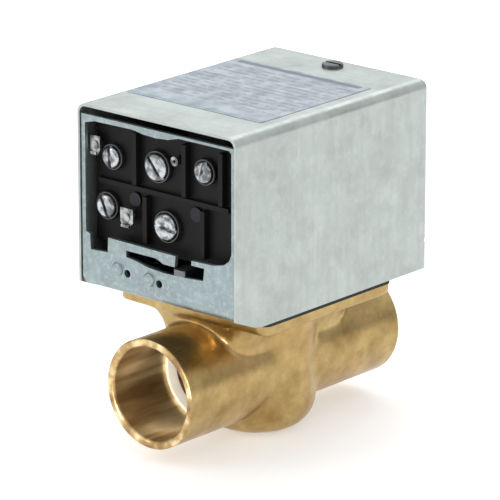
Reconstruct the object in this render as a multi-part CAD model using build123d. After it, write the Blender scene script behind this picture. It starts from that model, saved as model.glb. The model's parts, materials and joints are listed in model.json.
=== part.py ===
from build123d import *
import math
import os

# A two-port motorised zone valve: a brass sweat body with a rubber ball that swings on a stem,
# and a sheet-steel powerhead with a geared motor, a return spring, an end switch and a manual lever.
# Everything is drawn about the body's centre (pipe axis along Y, stem upright along Z, terminals
# at -Y), and save() then moves it so that the origin is the centre of the inlet socket's mouth.

# ---- brass body
BODY_LENGTH = 96.0
TUBE_R = 17.0
SOCKET_R = 14.35          # sweat socket for one-inch copper water tube, 28.6 mm outside
SOCKET_DEPTH = 23.0
WATERWAY_R = 12.0
CHAMBER_R = 18.3
CHAMBER_BOTTOM = -21.5
CHAMBER_ROUND = 10.0
CHAMBER_WALL = 2.0
CHAMBER_FLOOR = 5.5
NECK_W, NECK_L = 30.0, 53.4  # solid saddle that joins the tubes to the flange
BODY_FLANGE = 59.0
FLANGE_BOTTOM = 18.7
FLANGE_TOP = 22.3
CORNER_R = 3.0
SCREW_OFFSET = 21.5       # head screws sit on a 43 mm square
BONNET_R = 24.5
BONNET_THICK = 3.2
GASKET_THICK = 1.5
BONNET_TOP = FLANGE_TOP + BONNET_THICK
BASE_BOTTOM = BONNET_TOP + GASKET_THICK

# ---- stem, ball and seat
STEM_X, STEM_Y = -10.5, 4.0
STEM_R = 3.0
STEM_FLAT = 2.3           # distance from the stem's axis to its drive flat
STEM_TOP = 37.2
RUNNING_GAP = 0.04
BALL_R = 9.5
BALL_ARM = 10.5           # stem axis to ball axis
SEAT_GAP = 0.3
PORT_R = 8.0
ARM_BOTTOM = 10.2
ARM_THICK = 3.0
HUB_LOW_R = 4.2
VALVE_TRAVEL = 55.0       # degrees from closed to open

# ---- powerhead sheet metal
COVER_W, COVER_D = 62.0, 89.0
COVER_TOP = 83.2
COVER_BOTTOM = 24.0
COVER_SHEET = 0.8
COVER_ROUND = 3.0
SHEET = 1.2
BASE_W = 59.6
BASE_FRONT = -44.1
BASE_BACK = 43.4
BASE_TOP = BASE_BOTTOM + SHEET
FRONT_TOP = 80.0
BEND_R = 3.0
BRACKET_BOTTOM = 44.8
BRACKET_TOP = BRACKET_BOTTOM + SHEET
BRACKET_FRONT = -36.4
POSTS = [(-26.0, -14.0), (26.0, -14.0), (-25.0, 36.0), (25.0, 36.0)]
POST_R = 2.5

# ---- gear train
PRESSURE_ANGLE = 25.0
DRIVE_MODULE, TRAIN_MODULE = 0.8, 0.4
PINION_TEETH, WHEEL_TEETH = 12, 60
TOOTH_PLAY = 0.05         # taken off each flank
SECTOR_BOTTOM, SECTOR_THICK = 33.6, 1.6
DRIVE_ANGLE = 55.0        # direction from the stem to the output shaft, from +X
GEAR_2_ANGLE = 195.0      # directions from each shaft to the next one up the train
GEAR_1_ANGLE = 250.0
ROTOR_ANGLE = -27.0
CASE_TOP = 57.0
CASE_WALL = 1.2
LID_TOP = CASE_TOP + CASE_WALL
CAN_R = 23.0
CAN_TOP = 76.0
CAN_WALL = 0.8
LEAD_OUTLET = -20.4        # flat face of the can's lead outlet
PIN_R = 1.0
OUTPUT_R = 2.0

# ---- terminal board, lever and switch
BOARD_FRONT, BOARD_BACK = -39.6, -36.6
BOARD_BOTTOM, BOARD_TOP = 41.0, 77.8
HEAD_FRONT = -42.4
TERMINALS = [(-20.4, 67.6, 3.3), (-2.6, 67.9, 4.2), (15.9, 69.8, 3.3), (-22.6, 52.2, 3.6), (1.0, 50.3, 4.2)]
SLOT_ANGLES = [85, 50, 105, 65, 10]
TAGS = [(-26.0, 70.6), (-13.6, 50.6)]
EYELET = (5.4, 71.4)
TAG_SHEET = 0.8
LEVER_X, LEVER_Y = 9.05, -7.0
LEVER_BOTTOM, LEVER_THICK = 37.8, 1.8
LEVER_WIDTH = 4.3
LEVER_TIP = -44.9
SWITCH_LEFT, SWITCH_RIGHT = -28.5, -20.6
SWITCH_FRONT, SWITCH_BACK = 0.5, 17.0
SWITCH_TOP = 33.4
SWITCH_PIVOT = (-19.3, 16.0)
SWITCH_SCREWS = [(-24.5, 3.5), (-24.5, 13.5)]
BUTTON_Y = 11.0
CAM_R, CAM_LIFT = 8.0, 1.0
SPRING_POST = (17.0, -12.0)
SPRING_Z = 31.0
HOOK_ARM = 14.0
WIRE_R = 0.6


def centres_between(start, distance, angle):
    return (start[0] + distance * math.cos(math.radians(angle)),
            start[1] + distance * math.sin(math.radians(angle)))


def mesh_distance(module):
    return module * (PINION_TEETH + WHEEL_TEETH) / 2


STEM = (STEM_X, STEM_Y)
OUTPUT = centres_between(STEM, mesh_distance(DRIVE_MODULE), DRIVE_ANGLE)
GEAR_2 = centres_between(OUTPUT, mesh_distance(TRAIN_MODULE), GEAR_2_ANGLE)
GEAR_1 = centres_between(GEAR_2, mesh_distance(TRAIN_MODULE), GEAR_1_ANGLE)
ROTOR = centres_between(GEAR_1, mesh_distance(TRAIN_MODULE), ROTOR_ANGLE)
CORNERS = [(x * SCREW_OFFSET, y * SCREW_OFFSET) for x in (-1, 1) for y in (-1, 1)]


# ---- helpers

def save(name, *solids):
    """One node: its solids are moved to the inlet socket's frame and written to parts/."""
    node = Compound(children=[Pos(0, BODY_LENGTH / 2, 0) * s for s in solids]) if len(solids) > 1 \
        else Pos(0, BODY_LENGTH / 2, 0) * solids[0]
    node.label = name
    export_step(node, f"parts/{name}.step")


def rod(x, y, low, high, radius):
    """An upright cylinder between two heights."""
    return Pos(x, y, (low + high) / 2) * Cylinder(radius, high - low)


def ring(x, y, low, high, outer, inner):
    return rod(x, y, low, high, outer) - rod(x, y, low - 1, high + 1, inner)


def block(x, y, z):
    """A box from three (low, high) pairs."""
    return Pos(sum(x) / 2, sum(y) / 2, sum(z) / 2) * Box(x[1] - x[0], y[1] - y[0], z[1] - z[0])


def pipe(low, high, radius, x=0, z=0):
    """A cylinder along Y between two places."""
    return Pos(x, (low + high) / 2, z) * Rot(90, 0, 0) * Cylinder(radius, high - low)


def plate(outline, low, high):
    """A flat sketch made solid between two heights."""
    return extrude(Pos(0, 0, low) * outline, high - low)


def wall_plate(outline, back, front):
    """A sketch drawn in X and Z made solid between two Y places, back being the larger."""
    return extrude(Plane.XZ.offset(-back) * outline, back - front)


def slotted_head(x, y, low, high, radius):
    """A pan head with rounded rim and a screwdriver slot."""
    head = rod(x, y, low, high, radius)
    head = fillet(head.edges().group_by(Axis.Z)[-1], 0.45 * (high - low))
    slot = block((x - radius, x + radius), (y - 0.16 * radius, y + 0.16 * radius),
                 (high - 0.45 * (high - low), high + 1))
    return head - slot


def upright_screw(x, y, tip, seat, shank_r, head_r, head_high):
    return rod(x, y, tip, seat, shank_r) + slotted_head(x, y, seat, seat + head_high, head_r)


def gear_outline(module, teeth):
    """Involute gear centred at the origin, with a tooth pointing along +X."""
    alpha = math.radians(PRESSURE_ANGLE)
    pitch_r = module * teeth / 2
    base_r = pitch_r * math.cos(alpha)
    tip_r, root_r = pitch_r + module, pitch_r - 1.25 * module
    start_r = max(base_r, root_r)

    def flank_angle(radius):
        roll = math.acos(min(1.0, base_r / radius))
        half = math.pi / (2 * teeth) - TOOTH_PLAY / pitch_r
        return half + math.tan(alpha) - alpha - math.tan(roll) + roll

    def at(radius, angle):
        return (radius * math.cos(angle), radius * math.sin(angle))

    edges = []
    middle_r = (start_r + tip_r) / 2
    for tooth in range(teeth):
        turn = 2 * math.pi * tooth / teeth
        after = turn + 2 * math.pi / teeth
        low, middle, tip = (flank_angle(r) for r in (start_r, middle_r, tip_r))
        if root_r < start_r:
            edges.append(Line(at(root_r, turn - low), at(start_r, turn - low)))
        edges.append(ThreePointArc(at(start_r, turn - low), at(middle_r, turn - middle), at(tip_r, turn - tip)))
        edges.append(Line(at(tip_r, turn - tip), at(tip_r, turn + tip)))
        edges.append(ThreePointArc(at(tip_r, turn + tip), at(middle_r, turn + middle), at(start_r, turn + low)))
        if root_r < start_r:
            edges.append(Line(at(start_r, turn + low), at(root_r, turn + low)))
        edges.append(Line(at(root_r, turn + low), at(root_r, after - low)))
    return make_face(Wire(edges))


def gear(module, teeth, centre, angle, low, high):
    """A gear with one tooth pointing along the given direction."""
    return Pos(centre[0], centre[1], 0) * Rot(0, 0, angle) * plate(gear_outline(module, teeth), low, high)


def space_towards(angle, teeth):
    """The tooth direction that puts a gap, not a tooth, on the line towards a gear that drives it."""
    return angle + 180 + 180 / teeth


def cord_route(points):
    """Straight runs joined by arcs as large as the runs allow."""
    radii = []
    for before, corner, after in zip(points, points[1:], points[2:]):
        one, two = Vector(*corner) - Vector(*before), Vector(*after) - Vector(*corner)
        half_turn = math.radians(one.get_angle(two) / 2)
        radii.append(0.45 * min(one.length, two.length) / math.tan(half_turn))
    print("bend radii", [round(r, 1) for r in radii])
    return FilletPolyline(*points, radius=radii)


def wire(points):
    route = cord_route(points)
    return sweep(Plane(origin=route @ 0, z_dir=route % 0) * Circle(WIRE_R), path=route)


# ---- brass body and what is in it

def chamber_inside():
    """The water space round the ball, ending at the flat seat wall."""
    inner_r = CHAMBER_R - CHAMBER_WALL
    seat_y = STEM_Y + math.sqrt((BALL_R + SEAT_GAP) ** 2 - PORT_R ** 2)
    low = CHAMBER_BOTTOM + CHAMBER_FLOOR
    well = rod(0, 0, low, FLANGE_TOP + 1, inner_r)
    well = fillet(well.edges().sort_by(Axis.Z)[0], CHAMBER_ROUND - CHAMBER_WALL)
    return well & block((-inner_r, inner_r), (-inner_r, seat_y), (low, FLANGE_TOP + 1))


def valve_body():
    half = BODY_LENGTH / 2
    chamber = rod(0, 0, CHAMBER_BOTTOM, FLANGE_BOTTOM, CHAMBER_R)
    chamber = fillet(chamber.edges().sort_by(Axis.Z)[0], CHAMBER_ROUND)
    body = chamber + pipe(-half, half, TUBE_R) + plate(Rectangle(NECK_W, NECK_L), 0, FLANGE_BOTTOM)
    body += plate(RectangleRounded(BODY_FLANGE, BODY_FLANGE, CORNER_R), FLANGE_BOTTOM, FLANGE_TOP)
    body -= chamber_inside()
    body -= pipe(-half - 1, -10, WATERWAY_R) + pipe(16, half + 1, WATERWAY_R) + pipe(0, 20, PORT_R)
    for end in (-1, 1):
        mouth, stop = end * half, end * (half - SOCKET_DEPTH)
        body -= pipe(min(mouth, stop), max(mouth, stop), SOCKET_R)
    for x, y in CORNERS:
        body -= rod(x, y, FLANGE_BOTTOM - 1, FLANGE_TOP + 1, 2.0)
    body -= ring(0, 0, FLANGE_TOP - 1.9, FLANGE_TOP + 1, 21.8, 19.2)
    mouths = [e for e in body.edges().filter_by(GeomType.CIRCLE)
              if abs(abs(e.center().Y) - half) < 0.01 and abs(e.radius - TUBE_R) < 0.01]
    return chamfer(mouths, 0.5)


def bonnet_o_ring():
    section = Pos(20.5, 0, FLANGE_TOP - 0.95) * Rot(90, 0, 0) * RectangleRounded(2.4, 1.9, 0.8)
    return revolve(section, Axis.Z)


def bonnet_plate():
    """A turned disc that closes the chamber and holds the stem's bushing."""
    disc = rod(0, 0, FLANGE_TOP, BONNET_TOP, BONNET_R)
    return disc - rod(*STEM, FLANGE_TOP - 1, BONNET_TOP + 1, 4.2)


def head_gasket():
    """A moulded pad that fits over the bonnet and clamps it to the flange."""
    pad = plate(RectangleRounded(BODY_FLANGE, BODY_FLANGE, CORNER_R), FLANGE_TOP, BASE_BOTTOM)
    pad -= rod(0, 0, FLANGE_TOP - 1, BONNET_TOP, BONNET_R + 0.1)
    for x, y in CORNERS:
        pad -= rod(x, y, FLANGE_TOP - 1, BASE_BOTTOM + 1, 2.3)
    return pad - rod(*STEM, BONNET_TOP - 1, BASE_BOTTOM + 1, 6.2)


def stem_bushing():
    sleeve = rod(*STEM, 19.0, BONNET_TOP, 4.2) + rod(*STEM, BONNET_TOP, BASE_TOP + 0.4, 5.6)
    return sleeve - rod(*STEM, 18, 30, STEM_R + RUNNING_GAP)


O_RING_HEIGHTS = [(20.6, 21.9), (23.0, 24.3)]
CLIP_LOW = (BASE_TOP + 0.6, BASE_TOP + 1.4)
CLIP_TOP = (35.4, 36.2)


def valve_stem():
    stem = rod(*STEM, ARM_BOTTOM, STEM_TOP, STEM_R)
    stem = chamfer(stem.edges().group_by(Axis.Z)[-1], 0.5)
    for low, high in O_RING_HEIGHTS + [CLIP_LOW, CLIP_TOP]:
        stem -= ring(*STEM, low, high, STEM_R + 1, 2.2)
    for low, high in ((ARM_BOTTOM - 1, 15.0), (CLIP_LOW[1], STEM_TOP + 1)):
        stem -= block((STEM_X + STEM_FLAT, STEM_X + 5), (STEM_Y - 5, STEM_Y + 5), (low, high))
    return stem


def e_clip(low, high, radius):
    clip = ring(*STEM, low, high, radius, 2.2)
    return clip - block((STEM_X - 1.6, STEM_X + 1.6), (STEM_Y - radius - 1, STEM_Y - 1.2), (low - 1, high + 1))


def ball_lever(stem):
    top = ARM_BOTTOM + ARM_THICK
    arm = rod(*STEM, ARM_BOTTOM, top + 1.5, HUB_LOW_R) + rod(STEM_X + BALL_ARM, STEM_Y, ARM_BOTTOM, top, 4.0)
    arm += block((STEM_X, STEM_X + BALL_ARM), (STEM_Y - 3.2, STEM_Y + 3.2), (ARM_BOTTOM, top))
    return arm - stem - rod(STEM_X + BALL_ARM, STEM_Y, 0, 20, 1.5)


def ball_pin():
    x, top = STEM_X + BALL_ARM, ARM_BOTTOM + ARM_THICK
    return rod(x, STEM_Y, -6.5, top, 1.5) + rod(x, STEM_Y, top, top + 1.0, 2.6)


def ball_plug():
    x = STEM_X + BALL_ARM
    return Pos(x, STEM_Y, 0) * Sphere(BALL_R) - rod(x, STEM_Y, -6.5, BALL_R + 1, 1.5)


# ---- sector, cam and drive

def sector_gear(hub_bore):
    """A toothed sector with a tail and a pin for the return spring."""
    reach = [(60 * math.cos(math.radians(a)), 60 * math.sin(math.radians(a))) for a in (0, 36, 72)]
    wedge = make_face(Polyline((0, 0), *reach, (0, 0)))
    toothed = Rot(0, 0, DRIVE_ANGLE) * gear_outline(DRIVE_MODULE, WHEEL_TEETH) & Rot(0, 0, 47) * wedge
    face = toothed + Circle(9.0) + Pos(0, -HOOK_ARM / 2) * Rectangle(5.0, HOOK_ARM) + Pos(0, -HOOK_ARM) * Circle(2.5)
    for angle in (66, 100):
        face -= Rot(0, 0, angle) * Pos(15.0, 0) * Circle(3.2)
    sheet = Pos(STEM_X, STEM_Y, 0) * plate(face, SECTOR_BOTTOM, SECTOR_BOTTOM + SECTOR_THICK)
    hook_pin = rod(STEM_X, STEM_Y - HOOK_ARM, SPRING_Z - 1.4, SECTOR_BOTTOM, 1.1)
    return sheet + hook_pin - hub_bore


def cam_outline():
    """A spiral lobe on the -X side, rising evenly with the valve's turn, on a round hub."""
    def on_spiral(angle):
        radius = CAM_R + CAM_LIFT * (angle - 180) / VALVE_TRAVEL
        return (radius * math.cos(math.radians(angle)), radius * math.sin(math.radians(angle)))

    rise = Spline(*[on_spiral(a) for a in (150, 180, 210, 245)])
    lobe = make_face(Wire([rise, Line(on_spiral(245), (0, 0)), Line((0, 0), on_spiral(150))]))
    return lobe + Circle(6.0)


def sector_hub(stem):
    hub = Pos(STEM_X, STEM_Y, 0) * plate(cam_outline(), 30.2, 33.4) + rod(*STEM, 30.0, SECTOR_BOTTOM, 6.0)
    hub += rod(*STEM, SECTOR_BOTTOM, SECTOR_BOTTOM + SECTOR_THICK, 4.5)
    return hub - stem


def drive_pinion(shaft):
    toothed = gear(DRIVE_MODULE, PINION_TEETH, OUTPUT, space_towards(DRIVE_ANGLE, PINION_TEETH), 32.8, 36.4)
    return toothed + rod(*OUTPUT, 36.4, 39.5, 3.8) - shaft


def output_shaft():
    return rod(*OUTPUT, 32.4, 50.1, OUTPUT_R) + rod(*OUTPUT, 50.1, CASE_TOP + 0.9, 1.5)


def output_gear(shaft):
    wheel = gear(TRAIN_MODULE, WHEEL_TEETH, OUTPUT, GEAR_2_ANGLE, 47.9, 49.9)
    wheel += rod(*OUTPUT, 47.6, 50.1, 3.4)
    for angle in range(0, 360, 72):
        hole = centres_between(OUTPUT, 7.6, angle)
        wheel -= rod(*hole, 47, 51, 2.0)
    return wheel - shaft


def motor_gear_2():
    pinion_side = space_towards(GEAR_2_ANGLE, PINION_TEETH)
    cluster = gear(TRAIN_MODULE, PINION_TEETH, GEAR_2, pinion_side, 47.6, 50.6)
    cluster += gear(TRAIN_MODULE, WHEEL_TEETH, GEAR_2, GEAR_1_ANGLE, 50.6, 52.0)
    cluster += rod(*GEAR_2, 52.0, CASE_TOP - 0.2, 1.6)
    return cluster - rod(*GEAR_2, 40, 60, PIN_R + RUNNING_GAP)


def motor_gear_1():
    pinion_side = space_towards(GEAR_1_ANGLE, PINION_TEETH)
    cluster = gear(TRAIN_MODULE, PINION_TEETH, GEAR_1, pinion_side, 50.3, 53.2)
    cluster += gear(TRAIN_MODULE, WHEEL_TEETH, GEAR_1, ROTOR_ANGLE, 53.2, 54.6)
    cluster += rod(*GEAR_1, 47.4, 50.3, 1.8) + rod(*GEAR_1, 54.6, CASE_TOP - 0.2, 1.8)
    return cluster - rod(*GEAR_1, 40, 60, PIN_R + RUNNING_GAP)


def rotor_shaft():
    toothed = gear(TRAIN_MODULE, PINION_TEETH, ROTOR, space_towards(ROTOR_ANGLE, PINION_TEETH), 52.9, 55.6)
    return toothed + rod(*ROTOR, 46.6, CAN_TOP - 0.5, PIN_R)


def rotor_magnet(shaft):
    drum = rod(*ROTOR, 61.0, 72.0, 9.8) - ring(*ROTOR, 66.0, 73.0, 8.2, 3.0)
    return drum - shaft


# ---- motor

def case_outline(shrink=0.0):
    wheels = [(*c, TRAIN_MODULE * (WHEEL_TEETH / 2 + 1) + 0.6 + CASE_WALL) for c in (OUTPUT, GEAR_2, GEAR_1)]
    circles = [Pos(x, y) * Circle(r - shrink) for x, y, r in wheels + [(*ROTOR, CAN_R + 0.6)]]
    return make_hull([e for c in circles for e in c.edges()])


GEAR_PINS = [GEAR_1, GEAR_2]
COVER_POST = (0.0, 35.5)


def gear_pins():
    return [rod(x, y, BRACKET_TOP + 0.5, CASE_TOP + 0.8, PIN_R) for x, y in GEAR_PINS]


def gear_case(pins):
    cup = plate(case_outline(), BRACKET_TOP, CASE_TOP)
    cup -= plate(case_outline(CASE_WALL), BRACKET_TOP + CASE_WALL, CASE_TOP + 1)
    cup -= rod(*OUTPUT, 40, 50, 3.5) + rod(*ROTOR, BRACKET_TOP + 0.5, 50, PIN_R + RUNNING_GAP)
    for pin in pins:
        cup -= pin
    return cup


def gear_case_lid(pins):
    lid = plate(case_outline(), CASE_TOP, LID_TOP)
    lid -= rod(*ROTOR, 50, 60, 3.5) + rod(*OUTPUT, 50, CASE_TOP + 1.0, 1.5 + RUNNING_GAP)
    for pin in pins:
        lid -= pin
    return lid


def output_bushing():
    return ring(*OUTPUT, BRACKET_BOTTOM - 0.8, BRACKET_TOP + CASE_WALL, 3.5, OUTPUT_R + RUNNING_GAP)


def motor_can():
    can = rod(*ROTOR, LID_TOP, CAN_TOP, CAN_R)
    can = fillet(can.edges().group_by(Axis.Z)[-1], 1.6)
    can += block((-8.0, 8.0), (LEAD_OUTLET, ROTOR[1] - 20), (60.8, 66.2))
    can -= rod(*ROTOR, LID_TOP - 1, CAN_TOP - CAN_WALL, CAN_R - CAN_WALL)
    return can - rod(*ROTOR, 70, CAN_TOP + 1, PIN_R + RUNNING_GAP)


def stator_plate(low, high, fingers_to, first_angle):
    """A steel disc with eight pole fingers round the rotor."""
    disc = ring(*ROTOR, low, high, CAN_R - CAN_WALL - 0.05, 10.8)
    bottom, top = min(low, fingers_to), max(high, fingers_to)
    band = ring(*ROTOR, bottom, top, 12.0, 10.8)
    for finger in range(8):
        wedge = Pos(*ROTOR, (bottom + top) / 2) * Rot(0, 0, first_angle + 45 * finger) * Pos(11, 0, 0) \
            * Box(8, 3.2, top - bottom)
        disc += band & wedge
    return disc


def coil_bobbin():
    bobbin = ring(*ROTOR, 59.4, 72.6, 13.2, 12.2)
    return bobbin + ring(*ROTOR, 59.4, 60.4, 21.8, 12.2) + ring(*ROTOR, 71.6, 72.6, 21.8, 12.2)


# ---- powerhead frame

def front_window():
    """The opening in front of the terminal board, with the shallow tab in its top edge."""
    outline = Polyline((-28.4, 77.4), (-24.5, 78.4), (-9.6, 78.6), (-4.9, 77.9), (-0.2, 77.7), (4.5, 78.1),
                       (8.6, 79.2), (28.0, 79.2), (28.9, 78.4), (28.9, 48.0), (28.0, 46.0), (25.9, 44.4),
                       (22.0, 43.5), (13.4, 43.2), (13.4, 41.8), (18.4, 41.8), (18.0, 38.0), (13.0, 37.6),
                       (3.0, 37.2), (-3.5, 37.6), (-8.2, 38.6), (-12.3, 39.1), (-12.3, 41.1), (-0.5, 41.1),
                       (2.5, 39.9), (6.9, 39.9), (7.2, 43.3), (-19.5, 43.6), (-19.7, 39.0), (-26.6, 38.6),
                       (-26.8, 43.4), (-28.4, 43.9), (-28.4, 77.4))
    return make_face(outline)


def base_frame():
    """Floor and front plate bent from one sheet, with low side flanges."""
    depth = (BASE_FRONT, BASE_BACK)
    frame = block((-BASE_W / 2, BASE_W / 2), depth, (BASE_BOTTOM, FRONT_TOP))
    frame = fillet(frame.edges().filter_by(Axis.X).sort_by(lambda e: e.center().Y + e.center().Z)[0], BEND_R)
    hollow = block((-BASE_W, BASE_W), (BASE_FRONT + SHEET, BASE_BACK + 1), (BASE_TOP, FRONT_TOP + 1))
    hollow = fillet(hollow.edges().filter_by(Axis.X).sort_by(lambda e: e.center().Y + e.center().Z)[0],
                    BEND_R - SHEET)
    frame -= hollow
    frame = fillet(frame.edges().filter_by(Axis.Z).group_by(Axis.Y)[-1], 2.0)
    for side in (-1, 1):
        edge, inner = side * BASE_W / 2, side * (BASE_W / 2 - SHEET)
        frame += block((min(edge, inner), max(edge, inner)), (-36.0, 38.0), (BASE_BOTTOM, 34.0))
    frame -= wall_plate(front_window(), BASE_FRONT + 3, BASE_FRONT - 1)
    for x, z in ((-15.6, 34.7), (-3.0, 34.1)):
        dimple = pipe(BASE_FRONT - 0.9, BASE_FRONT, 2.1, x, z)
        frame += fillet(dimple.edges().group_by(Axis.Y)[0], 0.7)
        frame -= pipe(BASE_FRONT - 1, BASE_FRONT + 3, 1.2, x + 3.7, z - 0.7)
    for x, y in CORNERS:
        frame -= rod(x, y, 20, 30, 2.25)
    for x, y in POSTS + [SPRING_POST]:
        frame -= rod(x, y, 20, 30, 1.5)
    for x, y in SWITCH_SCREWS:
        frame -= rod(x, y, 20, 30, 1.0)
    return frame - rod(*STEM, 20, 30, 5.6)


def head_screws():
    return [upright_screw(x, y, FLANGE_BOTTOM + 0.3, BASE_TOP, 2.0, 3.9, 2.4) for x, y in CORNERS]


def bracket_posts():
    return [rod(x, y, BASE_BOTTOM, BASE_TOP, 1.5) + rod(x, y, BASE_TOP, BRACKET_BOTTOM, POST_R)
            - rod(x, y, 38, 50, 1.25) for x, y in POSTS]


def bracket_screws():
    return [upright_screw(x, y, 39.0, BRACKET_TOP, 1.25, 2.3, 1.6) for x, y in POSTS]


def motor_bracket():
    """The shelf that carries the motor, with two tabs bent up behind the terminal board."""
    shelf = plate(Pos(0, (BRACKET_FRONT + 41) / 2) * RectangleRounded(57, 41 - BRACKET_FRONT, 2.0),
                  BRACKET_BOTTOM, BRACKET_TOP)
    for x in (-12, 12):
        tab = block((x - 4, x + 4), (BRACKET_FRONT, BRACKET_FRONT + SHEET), (BRACKET_BOTTOM, 60.0))
        shelf += tab
        shelf -= pipe(BRACKET_FRONT - 1, BRACKET_FRONT + 3, 1.25, x, 56.0)
    for x, y in POSTS:
        shelf -= rod(x, y, 40, 50, 1.25)
    shelf -= rod(LEVER_X, LEVER_Y, 40, 50, 1.6)
    for side in (-1, 1):
        shelf -= block((side * 29 - 2.2, side * 29 + 2.2), (-30, 33), (40, 50))
    return shelf - rod(*OUTPUT, 40, 50, 3.5)


def cover():
    """Five-sided folded cover, open at the front and below."""
    def shell(inset, radius, front, low):
        half_w, half_d = COVER_W / 2 - inset, COVER_D / 2
        box = block((-half_w, half_w), (front, half_d - inset), (low, COVER_TOP - inset))
        back_edges = box.edges().filter_by(Axis.Z).group_by(Axis.Y)[-1]
        top_edges = box.faces().sort_by(Axis.Z)[-1].edges().sort_by(Axis.Y)[1:]
        return fillet(back_edges + top_edges, radius)

    front = -COVER_D / 2
    tin = shell(0, COVER_ROUND, front, COVER_BOTTOM)
    tin -= shell(COVER_SHEET, COVER_ROUND - COVER_SHEET, front - 1, COVER_BOTTOM - 1)
    for side in (-1, 1):
        wall = (side * COVER_W / 2 - 1.5, side * COVER_W / 2 + 1.5)
        corner = make_face(Polyline((front - 1, COVER_BOTTOM - 1), (front + 12, COVER_BOTTOM - 1),
                                    (front + 11.5, COVER_BOTTOM), (front + 8, COVER_BOTTOM + 0.7),
                                    (front - 1, COVER_BOTTOM + 4.4), (front - 1, COVER_BOTTOM - 1)))
        tin -= extrude(Plane.YZ.offset(wall[0]) * corner, 3.0)
        back = COVER_D / 2
        tin -= block(wall, (back - 2.2, back + 1), (COVER_BOTTOM + 7.8, COVER_BOTTOM + 9.2))
    return tin - rod(*COVER_POST, 80, 90, 1.7)


def cover_post():
    return rod(*COVER_POST, LID_TOP, COVER_TOP - COVER_SHEET, 2.5) - rod(*COVER_POST, 74, 90, 1.5)


def rating_label():
    return plate(Pos(-1.5, -1.3) * RectangleRounded(53, 50.7, 1.0), COVER_TOP, COVER_TOP + 0.15)


# ---- terminal board

def terminal_board():
    board = block((-28.0, 27.6), (BOARD_FRONT, BOARD_BACK), (BOARD_BOTTOM, BOARD_TOP))
    for x in (-11.0, 8.4, 22.6):
        board += block((x - 0.8, x + 0.8), (BOARD_FRONT - 2.2, BOARD_FRONT), (61.0, BOARD_TOP - 1.0))
    for x in (-7.0, 15.6):
        board += block((x - 0.8, x + 0.8), (BOARD_FRONT - 2.2, BOARD_FRONT), (43.5, 58.0))
    board += block((-26.0, 25.0), (BOARD_FRONT - 1.4, BOARD_FRONT), (59.0, 60.4))
    for x, z, _ in TERMINALS:
        board -= pipe(BOARD_FRONT - 5, BOARD_BACK + 5, 1.5, x, z)
    for x, z in TAGS + [EYELET]:
        board -= pipe(BOARD_FRONT - 5, BOARD_BACK + 5, 0.9, x, z)
    for x in (-12, 12):
        board -= pipe(BOARD_FRONT - 1, BOARD_BACK + 5, 1.25, x, 56.0)
    return board


def terminal_plates():
    """A round cup washer under each terminal screw."""
    washers = []
    for x, z, radius in TERMINALS:
        cup = pipe(BOARD_FRONT - 1.6, BOARD_FRONT, radius + 0.8, x, z)
        cup = chamfer(cup.edges().group_by(Axis.Y)[0], 0.25)
        cup -= pipe(BOARD_FRONT - 2, BOARD_FRONT - 0.8, radius + 0.3, x, z)
        washers.append(cup - pipe(BOARD_FRONT - 5, BOARD_BACK, 1.5, x, z))
    return washers


def terminal_screws():
    screws = []
    for (x, z, radius), angle in zip(TERMINALS, SLOT_ANGLES):
        head = pipe(HEAD_FRONT, BOARD_FRONT - 0.8, radius, x, z)
        head = fillet(head.edges().group_by(Axis.Y)[0], 1.1)
        slot = Pos(x, HEAD_FRONT, z) * Rot(0, angle, 0) * Box(2 * radius + 1, 2.0, 1.1)
        screws.append(head + pipe(BOARD_FRONT - 0.8, BOARD_BACK + 1.2, 1.5, x, z) - slot)
    return screws


def terminal_clips():
    """Two flat tags and an eyelet, each standing off the board on a riveted post."""
    back = HEAD_FRONT + TAG_SHEET
    clips = []
    for (x, z), half in zip(TAGS, (1.9, 2.5)):
        outline = Polyline((x - half, z + 2.8), (x + half, z + 2.8), (x + half, z - 1.4), (x + half / 2, z - 3.0),
                           (x - half / 2, z - 3.0), (x - half, z - 1.4), (x - half, z + 2.8))
        tag = wall_plate(make_face(outline), back, HEAD_FRONT)
        tag += pipe(back, BOARD_FRONT, 1.4, x, z) + pipe(BOARD_FRONT, BOARD_BACK + 0.1, 0.9, x, z)
        tag += pipe(HEAD_FRONT - 0.4, HEAD_FRONT, 1.3, x, z)
        tag += block((x - half * 0.6, x + half * 0.6), (HEAD_FRONT - 0.9, HEAD_FRONT), (z - 2.8, z - 2.0))
        clips.append(tag)
    x, z = EYELET
    eyelet = pipe(HEAD_FRONT, BOARD_FRONT, 1.4, x, z) + pipe(BOARD_FRONT, BOARD_BACK + 0.1, 0.9, x, z)
    return clips + [eyelet - pipe(HEAD_FRONT - 1, BOARD_BACK + 1, 0.45, x, z)]


def board_rivets():
    return [pipe(BOARD_FRONT, BRACKET_FRONT + SHEET + 0.6, 1.25, x, 56.0)
            + pipe(BOARD_FRONT - 0.8, BOARD_FRONT, 2.2, x, 56.0) for x in (-12, 12)]


# ---- manual lever

def manual_lever():
    top = LEVER_BOTTOM + LEVER_THICK
    blade = block((LEVER_X - LEVER_WIDTH / 2, LEVER_X + LEVER_WIDTH / 2), (LEVER_TIP, LEVER_Y), (LEVER_BOTTOM, top))
    blade = fillet(blade.edges().filter_by(Axis.Z).group_by(Axis.Y)[0], 0.8)
    blade += rod(LEVER_X, LEVER_Y, LEVER_BOTTOM, top, 5.0)
    blade += block((-3.6, LEVER_X), (LEVER_Y - 3.6, LEVER_Y + 0.4), (LEVER_BOTTOM, top))
    blade += block((-3.6, -2.0), (LEVER_Y - 3.6, LEVER_Y + 0.4), (34.2, LEVER_BOTTOM))
    return blade - rod(LEVER_X, LEVER_Y, 30, 44, 1.6 + RUNNING_GAP)


def lever_pivot_pin():
    pin = rod(LEVER_X, LEVER_Y, 37.0, BRACKET_TOP - 0.4, 1.6)
    pin += rod(LEVER_X, LEVER_Y, LEVER_BOTTOM + LEVER_THICK + 0.2, BRACKET_BOTTOM, 3.0)
    return pin + rod(LEVER_X, LEVER_Y, 36.6, 37.5, 2.8)


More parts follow.
